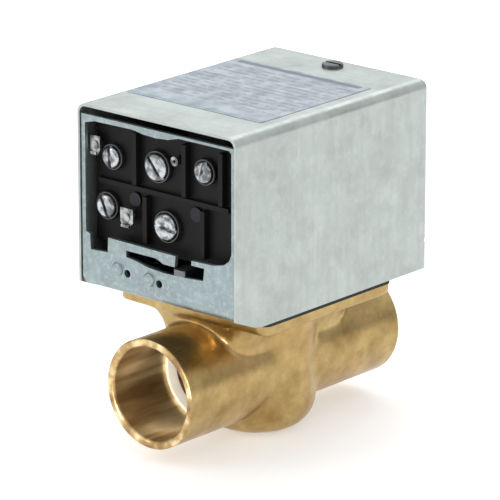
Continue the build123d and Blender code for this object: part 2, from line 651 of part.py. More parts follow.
# ---- return spring and end switch

def spring_post():
    post = rod(*SPRING_POST, BASE_BOTTOM, BASE_TOP, 1.5) + rod(*SPRING_POST, BASE_TOP, 33.0, 1.6)
    return post - ring(*SPRING_POST, SPRING_Z - 0.6, SPRING_Z + 0.6, 3.0, 1.1)


def return_spring():
    """An extension spring from its post to the sector's hook pin, drawn closed-valve."""
    wire_r, lead_r, coil_r, eye_r, tail, pitch = 0.35, 0.3, 2.1, 1.62, 2.4, 1.15
    start, end = Vector(*SPRING_POST, SPRING_Z), Vector(STEM_X, STEM_Y - HOOK_ARM, SPRING_Z)
    span = (end - start).length
    length = span - 2 * tail
    turns = round(length / pitch)
    coil_path = Helix(length / turns, length, coil_r)
    coil = sweep(Plane(origin=coil_path @ 0, z_dir=coil_path % 0) * Circle(wire_r), path=coil_path)
    spring = Pos(0, 0, tail) * coil
    for eye, inward in ((0, 1), (span, -1)):
        spring += Pos(coil_r / 2, 0, eye + inward * tail) * Rot(0, 90, 0) * Cylinder(lead_r, coil_r)
        spring += Pos(0, 0, eye + inward * (eye_r + tail + 0.1) / 2) * Cylinder(lead_r, tail + 0.1 - eye_r)
        spring += Pos(0, 0, eye) * Rot(0, 90, 0) * Rot(0, 0, 45) * Torus(eye_r, wire_r)
    turn = math.degrees(math.atan2(end.Y - start.Y, end.X - start.X))
    return Pos(start.X, start.Y, start.Z) * Rot(0, 0, turn) * Rot(0, 90, 0) * spring


def switch_body():
    """The microswitch's case, with the lug and pin that its leaf turns on."""
    x, y = SWITCH_PIVOT
    case = block((SWITCH_LEFT, SWITCH_RIGHT), (SWITCH_FRONT, SWITCH_BACK), (BASE_TOP, SWITCH_TOP))
    case = fillet(case.edges().filter_by(Axis.Z), 0.6)
    case += block((SWITCH_RIGHT - 0.5, x), (y - 0.6, y + 0.6), (29.6, 30.6)) + rod(x, y, 29.6, 30.6, 0.6)
    case += rod(x, y, 30.6, 33.2, 0.3)
    case -= block((-22.9, SWITCH_RIGHT + 1), (BUTTON_Y - 1.1, BUTTON_Y + 1.1), (30.8, 33.0))
    for x, y in SWITCH_SCREWS:
        case -= rod(x, y, 20, 40, 1.0)
    return case


def switch_button():
    return block((-22.2, SWITCH_PIVOT[0] - 0.2), (BUTTON_Y - 1.0, BUTTON_Y + 1.0), (30.9, 32.9))


def switch_lever():
    """A leaf that the cam pushes, turning on a pin at the switch's rear end."""
    x, y = SWITCH_PIVOT
    leaf = block((x + 0.1, x + 0.5), (STEM_Y - 1.0, y), (30.9, 32.9)) + rod(x, y, 30.7, 33.0, 0.6)
    return leaf - rod(x, y, 30, 34, 0.3 + RUNNING_GAP)


def switch_screws():
    return [upright_screw(x, y, BASE_BOTTOM, SWITCH_TOP, 1.0, 1.9, 1.1) for x, y in SWITCH_SCREWS]


def switch_terminals():
    return [block((x - 0.9, x + 0.9), (SWITCH_BACK, SWITCH_BACK + 5.0), (31.0, 31.5)) for x in (-26.9, -24.3, -21.8)]


# ---- leads, each a fixed length laid along its route inside the head
MOTOR_LEADS = [
    [(-4.0, LEAD_OUTLET, 63.0), (-4.0, -25.4, 63.0), (-1.9, -30.2, 68.5), (-1.9, BOARD_BACK + 1.2, 68.5)],
    [(6.5, LEAD_OUTLET, 65.0), (6.5, -26.0, 65.0), (16.0, -29.9, 70.0), (16.0, BOARD_BACK + 1.2, 70.0)],
]
SWITCH_LEADS = [
    [(-26.9, 22.0, 32.3), (-26.9, 27.0, 33.4), (-28.6, 30.0, 38.5), (-29.0, 27.0, 45.0), (-29.0, 17.0, 49.5),
     (-29.0, 3.0, 50.5), (-28.9, -11.0, 51.0), (-27.6, -23.0, 52.2), (-21.9, -30.4, 52.8),
     (-21.9, BOARD_BACK + 1.2, 52.8)],
    [(-24.3, 22.0, 32.3), (-24.4, 28.2, 33.6), (-28.2, 32.4, 40.6), (-29.0, 30.0, 48.0), (-29.0, 20.0, 53.0),
     (-29.0, 5.0, 54.6), (-28.9, -10.0, 56.0), (-26.4, -21.6, 60.6), (-19.7, -30.0, 68.1),
     (-19.7, BOARD_BACK + 1.2, 68.1)],
]


def main():
    os.makedirs("parts", exist_ok=True)
    save("valve_body", valve_body())
    save("bonnet_o_ring", bonnet_o_ring())
    save("bonnet_plate", bonnet_plate())
    save("head_gasket", head_gasket())
    save("stem_bushing", stem_bushing())

    stem = valve_stem()
    save("valve_stem", stem)
    save("stem_o_rings", *[ring(*STEM, low, high, STEM_R, 2.2) for low, high in O_RING_HEIGHTS])
    save("stem_retaining_ring", e_clip(*CLIP_LOW, 4.8))
    save("ball_lever", ball_lever(stem))
    save("ball_pin", ball_pin())
    save("ball_plug", ball_plug())
    save("sector_hub", sector_hub(stem))
    save("sector_gear", sector_gear(rod(*STEM, 30, 40, 4.5)))
    save("sector_clip", e_clip(*CLIP_TOP, 5.4))

    shaft = output_shaft()
    save("output_shaft", shaft)
    save("drive_pinion", drive_pinion(shaft))
    save("output_gear", output_gear(shaft))
    save("motor_gear_2", motor_gear_2())
    save("motor_gear_1", motor_gear_1())
    axle = rotor_shaft()
    save("rotor_shaft", axle)
    save("rotor_magnet", rotor_magnet(axle))

    pins = gear_pins()
    save("gear_pins", *pins)
    save("gear_case", gear_case(pins))
    save("gear_case_lid", gear_case_lid(pins))
    save("output_bushing", output_bushing())
    save("motor_can", motor_can())
    save("stator_plate_lower", stator_plate(LID_TOP, LID_TOP + 1.0, 70.0, 0))
    save("stator_plate_upper", stator_plate(72.8, 73.8, 62.0, 22.5))
    save("coil_bobbin", coil_bobbin())
    save("motor_coil", ring(*ROTOR, 60.4, 71.6, 21.4, 13.2))

    save("base_frame", base_frame())
    save("head_screws", *head_screws())
    save("bracket_posts", *bracket_posts())
    save("bracket_screws", *bracket_screws())
    save("motor_bracket", motor_bracket())
    save("cover", cover())
    save("cover_post", cover_post())
    save("cover_screw", upright_screw(*COVER_POST, 76.0, COVER_TOP, 1.5, 3.3, 1.2))
    save("rating_label", rating_label())

    save("terminal_board", terminal_board())
    save("terminal_plates", *terminal_plates())
    save("terminal_screws", *terminal_screws())
    save("terminal_clips", *terminal_clips())
    save("board_rivets", *board_rivets())

    save("lever_pivot_pin", lever_pivot_pin())
    save("manual_lever", manual_lever())

    save("spring_post", spring_post())
    save("return_spring", return_spring())
    save("switch_body", switch_body())
    save("switch_button", switch_button())
    save("switch_lever", switch_lever())
    save("switch_screws", *switch_screws())
    save("switch_terminals", *switch_terminals())
    save("motor_leads", *[wire(route) for route in MOTOR_LEADS])
    save("switch_leads", *[wire(route) for route in SWITCH_LEADS])


main()
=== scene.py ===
import bpy
import bmesh
import json
import math
import numpy as np
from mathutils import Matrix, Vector, noise


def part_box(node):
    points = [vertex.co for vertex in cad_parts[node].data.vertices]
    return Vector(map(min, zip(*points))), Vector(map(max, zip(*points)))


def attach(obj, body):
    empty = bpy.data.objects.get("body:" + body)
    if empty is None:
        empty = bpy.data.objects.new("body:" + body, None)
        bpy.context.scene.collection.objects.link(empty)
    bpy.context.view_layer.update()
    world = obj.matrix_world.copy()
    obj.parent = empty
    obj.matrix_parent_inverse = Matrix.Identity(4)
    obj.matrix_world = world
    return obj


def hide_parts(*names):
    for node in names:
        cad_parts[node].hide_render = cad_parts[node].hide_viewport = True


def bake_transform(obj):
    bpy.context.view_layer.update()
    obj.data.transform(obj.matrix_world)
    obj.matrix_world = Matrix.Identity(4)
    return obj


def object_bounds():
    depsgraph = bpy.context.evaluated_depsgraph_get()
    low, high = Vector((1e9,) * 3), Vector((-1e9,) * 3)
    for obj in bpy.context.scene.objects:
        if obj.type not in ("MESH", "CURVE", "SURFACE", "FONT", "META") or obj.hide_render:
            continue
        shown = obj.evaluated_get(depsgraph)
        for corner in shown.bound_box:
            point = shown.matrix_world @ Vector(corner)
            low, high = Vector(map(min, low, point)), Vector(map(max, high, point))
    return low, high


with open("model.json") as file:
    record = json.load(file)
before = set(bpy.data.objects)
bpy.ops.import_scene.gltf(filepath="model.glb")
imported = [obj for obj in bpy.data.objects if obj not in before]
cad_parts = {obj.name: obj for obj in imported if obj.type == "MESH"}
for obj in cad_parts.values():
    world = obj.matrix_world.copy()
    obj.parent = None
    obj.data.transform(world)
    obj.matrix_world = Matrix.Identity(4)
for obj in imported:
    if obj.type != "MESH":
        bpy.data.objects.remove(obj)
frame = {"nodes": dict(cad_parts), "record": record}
cad_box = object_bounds()

MM = 0.001
MM_PER_METRE = 1000
nodes = frame["nodes"]


# ---------------------------------------------------------------- camera, floor and light

VIEW_AZIMUTH, VIEW_ELEVATION = 40.97, 17.39             # degrees, azimuth 0 being the terminal end
VIEW_DISTANCE, VIEW_LENS = 1.3, 311.8                   # metres, millimetres
VIEW_LEFT, VIEW_DOWN, VIEW_BACK = 1.73, 19.32, 4.07     # millimetres, cover's middle to view's middle

# azimuth and elevation in degrees, distance and size in metres, power in watts, colour
AREA_LIGHTS = {
    "overhead": (215, 42, 1.3, (1.3, 0.9), 5.0, (0.95, 0.985, 1.0)),
    "right_fill": (110, 30, 1.4, (0.9, 0.9), 1.5, (1.0, 1.0, 0.99)),
    "left_front": (-35, 25, 1.3, (0.5, 0.9), 2.6, (1.0, 1.0, 1.0)),
    "strip": (52, 9, 1.5, (0.10, 0.9), 0.35, (1.0, 0.99, 0.97)),
}
SOCKET_LAMP_AZIMUTH, SOCKET_LAMP_ELEVATION, SOCKET_LAMP_DISTANCE = 12, 6, 1.1
SOCKET_LAMP_POWER, SOCKET_LAMP_SPREAD, SOCKET_LAMP_RADIUS = 70, 2.4, 0.02     # watts, degrees, metres

ROOM = [(0.0, 0.34), (0.10, 0.42), (0.30, 0.78), (0.70, 1.0)]     # height of the direction, brightness
ROOM_STRENGTH = 0.78
FLOOR_HALF, FLOOR_CUTS, FLOOR_GAP = 3.0, 40, 0.05       # metres, cuts a side, millimetres under the part
FLOOR_GREY, FLOOR_GLOW = 0.93, 0.36


def direction(azimuth, elevation):
    """The way from the object to a viewer or a lamp; angles in degrees."""
    az, el = math.radians(azimuth), math.radians(elevation)
    return Vector((math.sin(az) * math.cos(el), -math.cos(az) * math.cos(el), math.sin(el)))


def add_facing(name, data, location, toward):
    """Puts a camera or a lamp at location, looking back against toward."""
    piece = bpy.data.objects.new(name, data)
    piece.location = location
    piece.rotation_euler = (-toward).to_track_quat("-Z", "Y").to_euler()
    bpy.context.scene.collection.objects.link(piece)
    return piece


def add_camera():
    toward = direction(VIEW_AZIMUTH, VIEW_ELEVATION)
    azimuth = math.radians(VIEW_AZIMUTH)
    right = Vector((math.cos(azimuth), math.sin(azimuth), 0))
    up = toward.cross(right)
    low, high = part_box("cover")
    middle = Vector((0, (low.y + high.y) / 2, (low.z + high.z) / 2))
    target = middle - MM * (VIEW_LEFT * right + VIEW_DOWN * up + VIEW_BACK * toward)
    lens = bpy.data.cameras.new("camera")
    lens.lens = VIEW_LENS
    lens.clip_end = 20
    camera = add_facing("camera", lens, target + VIEW_DISTANCE * toward, toward)
    bpy.context.scene.camera = camera


def add_area_light(name, azimuth, elevation, distance, size, power, colour):
    """A soft box that shines at the middle of the object."""
    low, high = cad_box
    light = bpy.data.lights.new(name, "AREA")
    light.shape = "RECTANGLE"
    light.size, light.size_y = size
    light.energy = power
    light.color = colour
    toward = direction(azimuth, elevation)
    add_facing(name, light, (Vector(low) + Vector(high)) / 2 + distance * toward, toward)


def add_socket_light():
    """A narrow lamp that reaches the bottom of the near socket."""
    lamp = bpy.data.lights.new("socket_lamp", "SPOT")
    lamp.energy = SOCKET_LAMP_POWER
    lamp.spot_size = math.radians(SOCKET_LAMP_SPREAD)
    lamp.spot_blend = 0.6
    lamp.shadow_soft_size = SOCKET_LAMP_RADIUS
    toward = direction(SOCKET_LAMP_AZIMUTH, SOCKET_LAMP_ELEVATION)
    add_facing("socket_lamp", lamp, SOCKET_LAMP_DISTANCE * toward, toward)


def add_world():
    """A pale room whose low band is darker, so that turned metal shows a shaded line."""
    world = bpy.data.worlds.new("studio")
    world.use_nodes = True
    tree = world.node_tree
    background = tree.nodes["Background"]
    coordinate = tree.nodes.new("ShaderNodeTexCoord")
    split = tree.nodes.new("ShaderNodeSeparateXYZ")
    ramp = tree.nodes.new("ShaderNodeValToRGB")
    tree.links.new(coordinate.outputs["Generated"], split.inputs[0])
    tree.links.new(split.outputs["Z"], ramp.inputs[0])
    tree.links.new(ramp.outputs[0], background.inputs[0])
    stops = ramp.color_ramp.elements
    while len(stops) < len(ROOM):
        stops.new(0.5)
    for stop, (place, grey) in zip(stops, ROOM):
        stop.position = place
        stop.color = (grey, grey * 1.005, grey * 1.01, 1)
    background.inputs[1].default_value = ROOM_STRENGTH
    bpy.context.scene.world = world


def add_stage():
    """A wide, flat, pale floor."""
    low = cad_box[0][2]
    bm = bmesh.new()
    bmesh.ops.create_grid(bm, x_segments=FLOOR_CUTS, y_segments=FLOOR_CUTS, size=FLOOR_HALF)
    mesh = bpy.data.meshes.new("floor")
    bm.to_mesh(mesh)
    bm.free()
    floor = bpy.data.objects.new("floor", mesh)
    floor.location = (0, 0, low - FLOOR_GAP * MM)
    bpy.context.scene.collection.objects.link(floor)
    glow = {"Emission Color": (1.0, 1.0, 1.0), "Emission Strength": FLOOR_GLOW}
    floor.data.materials.append(Shader("floor_paper").principled((FLOOR_GREY,) * 3, 0.85, **glow))


# ---------------------------------------------------------------- materials

class Shader:
    """A small helper that builds one procedural material."""

    def __init__(self, name):
        self.material = bpy.data.materials.new(name)
        self.material.use_nodes = True
        self.tree = self.material.node_tree
        self.tree.nodes.clear()

    def node(self, kind, **settings):
        made = self.tree.nodes.new(kind)
        for key, value in settings.items():
            setattr(made, key, value)
        return made

    def wire(self, source, target):
        self.tree.links.new(source, target)

    def position(self, scale=(1, 1, 1)):
        """Object coordinates in millimetres, stretched by scale."""
        coordinate = self.node("ShaderNodeTexCoord")
        mapping = self.node("ShaderNodeMapping")
        mapping.inputs["Scale"].default_value = [MM_PER_METRE * s for s in scale]
        self.wire(coordinate.outputs["Object"], mapping.inputs["Vector"])
        return mapping.outputs["Vector"]

    def noise(self, size, stretch=(1, 1, 1), detail=4.0, rough=0.55):
        """Noise whose features are about size millimetres across."""
        made = self.node("ShaderNodeTexNoise")
        made.inputs["Scale"].default_value = 1.0 / size
        made.inputs["Detail"].default_value = detail
        made.inputs["Roughness"].default_value = rough
        self.wire(self.position(stretch), made.inputs["Vector"])
        return made.outputs["Fac"]

    def ramp(self, value, stops):
        """Colours by value; stops are (value, colour) pairs."""
        made = self.node("ShaderNodeValToRGB")
        points = made.color_ramp.elements
        while len(points) < len(stops):
            points.new(0.5)
        for point, (place, colour) in zip(points, stops):
            point.position = place
            point.color = (*colour, 1)
        self.wire(value, made.inputs["Fac"])
        return made.outputs["Color"]

    def remap(self, value, low, high, from_low=0.0, from_high=1.0):
        """Takes from_low to low and from_high to high, with nothing beyond them."""
        made = self.node("ShaderNodeMapRange")
        made.inputs["From Min"].default_value = from_low
        made.inputs["From Max"].default_value = from_high
        made.inputs["To Min"].default_value = low
        made.inputs["To Max"].default_value = high
        self.wire(value, made.inputs["Value"])
        return made.outputs["Result"]

    def feed(self, socket, value):
        """Gives a socket another node's output, a colour or a number."""
        if isinstance(value, bpy.types.NodeSocket):
            self.wire(value, socket)
        elif isinstance(value, tuple):
            socket.default_value = (*value, 1)
        else:
            socket.default_value = value

    def mix(self, factor, one, two):
        """Mixes two colours, which are inputs 6 and 7 and output 2 of a Mix node."""
        made = self.node("ShaderNodeMix", data_type="RGBA")
        for number, value in ((0, factor), (6, one), (7, two)):
            self.feed(made.inputs[number], value)
        return made.outputs[2]

    def math(self, operation, one, two=0.0):
        made = self.node("ShaderNodeMath", operation=operation)
        for socket, value in zip(made.inputs, (one, two)):
            self.feed(socket, value)
        return made.outputs[0]

    def axes(self):
        """The object coordinates x, y and z in millimetres."""
        split = self.node("ShaderNodeSeparateXYZ")
        self.wire(self.position(), split.inputs[0])
        return split.outputs

    def band(self, value, low, high):
        """1 where the value lies between low and high."""
        above, below = self.math("GREATER_THAN", value, low), self.math("LESS_THAN", value, high)
        return self.math("MULTIPLY", above, below)

    def bump(self, height, strength, distance):
        """distance is the relief in millimetres."""
        made = self.node("ShaderNodeBump")
        made.inputs["Strength"].default_value = strength
        made.inputs["Distance"].default_value = distance * MM
        self.wire(height, made.inputs["Height"])
        return made.outputs["Normal"]

    def principled(self, base, roughness=0.5, metallic=0.0, normal=None, **constants):
        shader = self.node("ShaderNodeBsdfPrincipled")
        output = self.node("ShaderNodeOutputMaterial")
        self.wire(shader.outputs[0], output.inputs[0])
        values = {"Base Color": base, "Roughness": roughness, "Metallic": metallic, **constants}
        for name, value in values.items():
            self.feed(shader.inputs[name], value)
        if normal is not None:
            self.wire(normal, shader.inputs["Normal"])
        return self.material


def shade(tint, share):
    return tuple(min(1.0, c * share) for c in tint)


SPANGLE_SIZE = 3.4
FULL_MIX = 0.9             # the most that one layer of zinc hides the one under it


def galvanised(name, tint, contrast=1.0):
    """Zinc-coated sheet: faint spangle, streaks across the roll, pale bloom and soft handling marks."""
    s = Shader(name)
    cells = s.node("ShaderNodeTexVoronoi")
    cells.inputs["Scale"].default_value = 1 / SPANGLE_SIZE
    cells.inputs["Randomness"].default_value = 1.0
    s.wire(s.position(), cells.inputs["Vector"])
    spangle = s.node("ShaderNodeSeparateColor")
    s.wire(cells.outputs["Color"], spangle.inputs[0])
    clouds = s.noise(16, detail=5)
    streaks = s.noise(2.2, stretch=(0.10, 1.0, 0.10), detail=4)
    fine = s.noise(0.35, stretch=(0.12, 1.0, 0.12), detail=2)
    bloom = s.noise(1.9, detail=6, rough=0.7)
    dark = shade(tint, 0.80)
    base = s.mix(s.remap(clouds, 0.0, 1.0, 0.3, 0.7), dark, shade(tint, 1.10))
    base = s.mix(s.remap(spangle.outputs[0], 0.0, 0.22 * contrast), base, shade(tint, 1.22))
    base = s.mix(s.remap(streaks, 0.0, min(FULL_MIX, 0.5 * contrast), 0.35, 0.75), base, dark)
    bloomed = s.remap(bloom, 0.0, min(FULL_MIX, 0.16 * contrast ** 2), 0.48, 0.72)
    base = s.mix(bloomed, base, shade(tint, 1.5))
    rough = s.math("ADD", s.remap(spangle.outputs[1], 0.34, 0.46), s.remap(clouds, -0.05, 0.07, 0.3, 0.7))
    height = s.math("ADD", s.math("MULTIPLY", fine, 0.5), s.math("MULTIPLY", spangle.outputs[2], 0.25))
    return s.principled(base, rough, 0.80, s.bump(height, 0.25, 0.025))


def plain_steel(name, tint, roughness, metallic=1.0):
    """Plated steel with a fine grain and small tonal changes."""
    s = Shader(name)
    clouds = s.noise(6, detail=5)
    fine = s.noise(0.2, detail=2)
    base = s.mix(clouds, shade(tint, 0.78), tint)
    rough = s.remap(clouds, roughness - 0.07, roughness + 0.09)
    return s.principled(base, rough, metallic, s.bump(fine, 0.1, 0.02))


def steel_with_painted_shade(name, tint, roughness):
    """Screw steel: a light face with near-black patches a millimetre or two across, which are painted
    shade.
    """
    s = Shader(name)
    patches = s.noise(2.6, detail=3, rough=0.5)
    fine = s.noise(0.2, detail=2)
    # the near-black patches are painted shade
    base = s.mix(s.remap(patches, 0.0, 1.0, 0.40, 0.60), shade(tint, 0.28), tint)
    rough = s.remap(patches, roughness + 0.10, roughness - 0.06, 0.35, 0.65)
    return s.principled(base, rough, 1.0, s.bump(fine, 0.12, 0.02))


def cast_brass():
    """Tumbled cast brass: mottled yellow skin, warmer in places, with dark patches and a sand grain."""
    s = Shader("cast_brass_skin")
    clouds = s.noise(9, detail=6, rough=0.6)
    patches = s.noise(3.2, detail=5, rough=0.65)
    warm = s.noise(24, detail=3)
    sand = s.noise(0.55, detail=4, rough=0.6)
    base = s.ramp(clouds, [(0.30, (0.32, 0.20, 0.07)), (0.50, (0.47, 0.33, 0.13)),
                           (0.72, (0.62, 0.455, 0.20))])
    base = s.mix(s.remap(warm, 0.0, 0.6, 0.45, 0.65), base, (0.56, 0.355, 0.15))
    base = s.mix(s.remap(patches, 0.0, 0.5, 0.42, 0.75), base, (0.34, 0.21, 0.08))
    rough = s.math("ADD", s.remap(patches, 0.22, 0.38), s.remap(clouds, -0.04, 0.06))
    height = s.math("ADD", s.math("MULTIPLY", sand, 0.6), s.math("MULTIPLY", patches, 0.9))
    return s.principled(base, rough, 0.95, s.bump(height, 0.4, 0.10))


def turned_brass_painted_reflections():
    """Turned brass with fine tool rings and dark and pale streaks drawn along the bore, which are painted
    reflections.
    """
    s = Shader("turned_brass_painted_reflections")
    streaks = s.noise(7, stretch=(1.0, 0.12, 1.0), detail=3)
    clouds = s.noise(5, detail=4)
    # the dark brown and pale bands along the bore are painted reflections
    base = s.ramp(streaks, [(0.38, (0.22, 0.12, 0.045)), (0.50, (0.46, 0.30, 0.125)),
                            (0.62, (0.90, 0.72, 0.42))])
    base = s.mix(s.remap(clouds, 0.0, 0.35), base, (0.62, 0.44, 0.20))
    fine = s.noise(0.3, stretch=(0.4, 3.0, 0.4), detail=2)
    return s.principled(base, s.remap(clouds, 0.26, 0.40), 0.75, s.bump(fine, 0.2, 0.02))


def painted_highlight_brass():
    """A freshly cut face, coloured near white with little metal so that it shows as a painted highlight.
    """
    s = Shader("cut_brass_painted_highlight")
    clouds = s.noise(3, detail=3)
    base = s.mix(clouds, (0.96, 0.90, 0.72), (0.99, 0.97, 0.90))
    fine = s.noise(0.25, detail=2)
    return s.principled(base, s.remap(clouds, 0.30, 0.42), 0.25, s.bump(fine, 0.15, 0.02))


def plastic(name, colour, roughness, specular=0.5):
    """Moulded plastic, rubber or enamel with a fine grain."""
    s = Shader(name)
    clouds = s.noise(8, detail=4)
    fine = s.noise(0.35, detail=3)
    base = s.mix(clouds, shade(colour, 0.72), colour)
    rough = s.remap(clouds, roughness - 0.06, roughness + 0.08)
    return s.principled(base, rough, 0.0, s.bump(fine, 0.35, 0.03), **{"Specular IOR Level": specular})


LABEL_BAR, LABEL_LINE = (68.4, 70.9), (22.4, 23.0)      # places along the pipe, millimetres
LABEL_ROWS, LABEL_PITCH = (30.0, 66.5), 2.9
LABEL_SIDES = (-25.5, 22.5)
DASH_RATE, DASH_SHIFT, DASH_LEVEL = 0.32, 7.3, 0.47     # noise along a row, row to row, where ink starts
DASH_BAND = (0.2, 0.62)                                 # share of the pitch that a row fills


def label_film():
    """Pale printed foil with rows of plain dashes, a dark bar and a thin green line, without lettering."""
    s = Shader("printed_label")
    x, y, _ = s.axes()
    clouds = s.noise(6, detail=5)
    base = s.mix(s.remap(clouds, 0.0, 1.0, 0.35, 0.65), (0.30, 0.345, 0.395), (0.52, 0.57, 0.615))
    row_place = s.math("DIVIDE", y, LABEL_PITCH)
    dash = s.node("ShaderNodeTexNoise")
    dash.inputs["Scale"].default_value = 1.0
    place = s.node("ShaderNodeCombineXYZ")
    s.wire(s.math("MULTIPLY", x, DASH_RATE), place.inputs[0])
    s.wire(s.math("MULTIPLY", s.math("FLOOR", row_place), DASH_SHIFT), place.inputs[1])
    s.wire(place.outputs[0], dash.inputs["Vector"])
    inked = s.math("GREATER_THAN", dash.outputs["Fac"], DASH_LEVEL)
    inked = s.math("MULTIPLY", inked, s.band(s.math("FRACT", row_place), *DASH_BAND))
    inside = s.math("MULTIPLY", s.band(x, *LABEL_SIDES), s.band(y, *LABEL_ROWS))
    base = s.mix(s.math("MULTIPLY", s.math("MULTIPLY", inked, inside), 0.42), base, (0.15, 0.18, 0.22))
    bar = s.math("MULTIPLY", s.band(x, *LABEL_SIDES), s.band(y, *LABEL_BAR))
    base = s.mix(s.math("MULTIPLY", bar, 0.8), base, (0.13, 0.15, 0.19))
    base = s.mix(s.math("MULTIPLY", s.band(y, *LABEL_LINE), 0.7), base, (0.10, 0.36, 0.38))
    return s.principled(base, s.remap(clouds, 0.36, 0.50), 0.35, s.bump(clouds, 0.1, 0.02))


# ---------------------------------------------------------------- mesh building

ROUND_STEPS = 96
AXIS_R = 0.01              # the radius that stands for an axis, so that no ring shrinks to a point
SKIN, MACHINED, CUT = 0, 1, 2     # material numbers of the casting


class Form:
    """A mesh put together from closed shells, in millimetres, all with one material number."""

    def __init__(self, material=SKIN):
        self.bm = bmesh.new()
        self.material = material

    def shell(self, rings):
        """Skins a list of equal rings of points; the ends are capped."""
        made = [[self.bm.verts.new(Vector(point) * MM) for point in ring] for ring in rings]
        faces = []
        for one, two in zip(made, made[1:]):
            for i in range(len(one)):
                j = (i + 1) % len(one)
                faces.append(self.bm.faces.new((one[i], one[j], two[j], two[i])))
        faces.append(self.bm.faces.new(list(reversed(made[0]))))
        faces.append(self.bm.faces.new(made[-1]))
        for face in faces:
            face.material_index = self.material

    def turned(self, profile, axis, centre=(0, 0, 0), steps=ROUND_STEPS):
        """Turns (radius, height) pairs round axis Y or Z through centre."""
        rings = []
        for radius, height in profile:
            ring = []
            for i in range(steps):
                angle = 2 * math.pi * i / steps
                u, v = radius * math.cos(angle), radius * math.sin(angle)
                point = (u, v, height) if axis == "Z" else (v, height, u)
                ring.append([p + c for p, c in zip(point, centre)])
            rings.append(ring)
        self.shell(rings)

    def hoop(self, profile):
        """Turns a closed outline of (radius, place) pairs round the pipe's axis."""
        angles = [2 * math.pi * i / ROUND_STEPS for i in range(ROUND_STEPS)]
        loops = []
        for radius, place in profile:
            points = [Vector((radius * math.cos(a), place, radius * math.sin(a))) * MM for a in angles]
            loops.append([self.bm.verts.new(point) for point in points])
        for one, two in zip(loops, loops[1:] + loops[:1]):
            for i in range(ROUND_STEPS):
                j = (i + 1) % ROUND_STEPS
                self.bm.faces.new((one[i], one[j], two[j], two[i])).material_index = self.material

    def prism(self, outline, low, high):
        """Extrudes an outline of (x, y) pairs from height low to high."""
        self.shell([[(x, y, height) for x, y in outline] for height in (low, high)])

    def slab(self, x_low, x_high, y_low, y_high, low, high):
        self.prism([(x_low, y_low), (x_high, y_low), (x_high, y_high), (x_low, y_high)], low, high)

    def mesh(self, name):
        bmesh.ops.recalc_face_normals(self.bm, faces=self.bm.faces)
        mesh = bpy.data.meshes.new(name)
        self.bm.to_mesh(mesh)
        self.bm.free()
        return mesh


def add_object(name, mesh, *materials):
    piece = bpy.data.objects.new(name, mesh)
    bpy.context.scene.collection.objects.link(piece)
    for material in materials:
        mesh.materials.append(material)
    return piece


def bake_modifiers(piece):
    """Replaces a piece's mesh with what its modifiers make of it."""
    evaluated = piece.evaluated_get(bpy.context.evaluated_depsgraph_get())
    mesh = bpy.data.meshes.new_from_object(evaluated)
    piece.modifiers.clear()
    piece.data = mesh


def cut_away(piece, cutters):
    """Machines a piece with closed cutter meshes, which are then removed."""
    for i, mesh in enumerate(cutters):
        tool = add_object(f"cutter_{i}", mesh)
        for material in piece.data.materials:
            mesh.materials.append(material)
        cut = piece.modifiers.new(tool.name, "BOOLEAN")
        cut.operation = "DIFFERENCE"
        cut.solver = "MANIFOLD"
        cut.object = tool
        bake_modifiers(piece)
        bpy.data.objects.remove(tool)


def smooth_faces(mesh, angle):
    for face in mesh.polygons:
        face.use_smooth = True
    mesh.set_sharp_from_angle(angle=math.radians(angle))


CORNER_STEPS, FLOOR_STEPS, LIP_STEPS = 8, 12, 6


def quarter_turn(steps):
    return [math.pi / 2 * i / steps for i in range(steps + 1)]


def rounded_square(half, radius):
    """Corner-rounded square outline round the origin."""
    points = []
    for quarter in range(4):
        middle = math.pi / 4 + quarter * math.pi / 2
        cx = math.copysign(half - radius, math.cos(middle))
        cy = math.copysign(half - radius, math.sin(middle))
        for i in range(CORNER_STEPS + 1):
            angle = quarter * math.pi / 2 + i * math.pi / 2 / CORNER_STEPS
            points.append((cx + radius * math.cos(angle), cy + radius * math.sin(angle)))
    return points


def rounded_floor(radius, bottom, rounding, top):
    """Profile of an upright drum with a large rounding at its lower edge."""
    profile = [(AXIS_R, bottom)]
    for angle in quarter_turn(FLOOR_STEPS):
        profile.append((radius - rounding + rounding * math.sin(angle),
                        bottom + rounding - rounding * math.cos(angle)))
    return profile + [(radius, top), (AXIS_R, top)]


def drum(radius, low, high):
    """Profile of a plain cylinder."""
    return [(AXIS_R, low), (radius, low), (radius, high), (AXIS_R, high)]


# ---------------------------------------------------------------- the brass casting

BODY_MIDDLE, BODY_END = 48.0, 96.0      # the chamber's axis and the outlet's face, along the pipe
CENTRE = (0, BODY_MIDDLE, 0)
TUBE_R, SOCKET_R, SOCKET_DEPTH, WATERWAY_R = 17.0, 14.35, 23.0, 12.0
CHAMBER_R, CHAMBER_BOTTOM, CHAMBER_ROUND = 18.3, -21.5, 10.0
NECK_HALF_W, NECK_HALF_L = 15.0, 26.7
FLANGE_HALF, FLANGE_BOTTOM, FLANGE_TOP, FLANGE_CORNER = 29.5, 18.7, 22.3, 3.2
NECK_CORNER = 9.0          # rounding of the neck's corners, on the flange's scale
# what the neck gains in half width and half length at each height, as it flares into the flange
NECK_FLARE = [(0, 0, 0.0), (0, 0, 10.0), (2.0, 0.4, 15.0), (5.5, 1.6, FLANGE_BOTTOM + 0.5)]
SPARE = 3.0                # extra length that machining takes off
CAST_VOXEL, CAST_SMOOTHING = 0.42, 80
COARSE_RELIEF, FINE_RELIEF, RELIEF_DROP = (0.10, 11), (0.035, 2.6), 0.06     # height and size; sinking

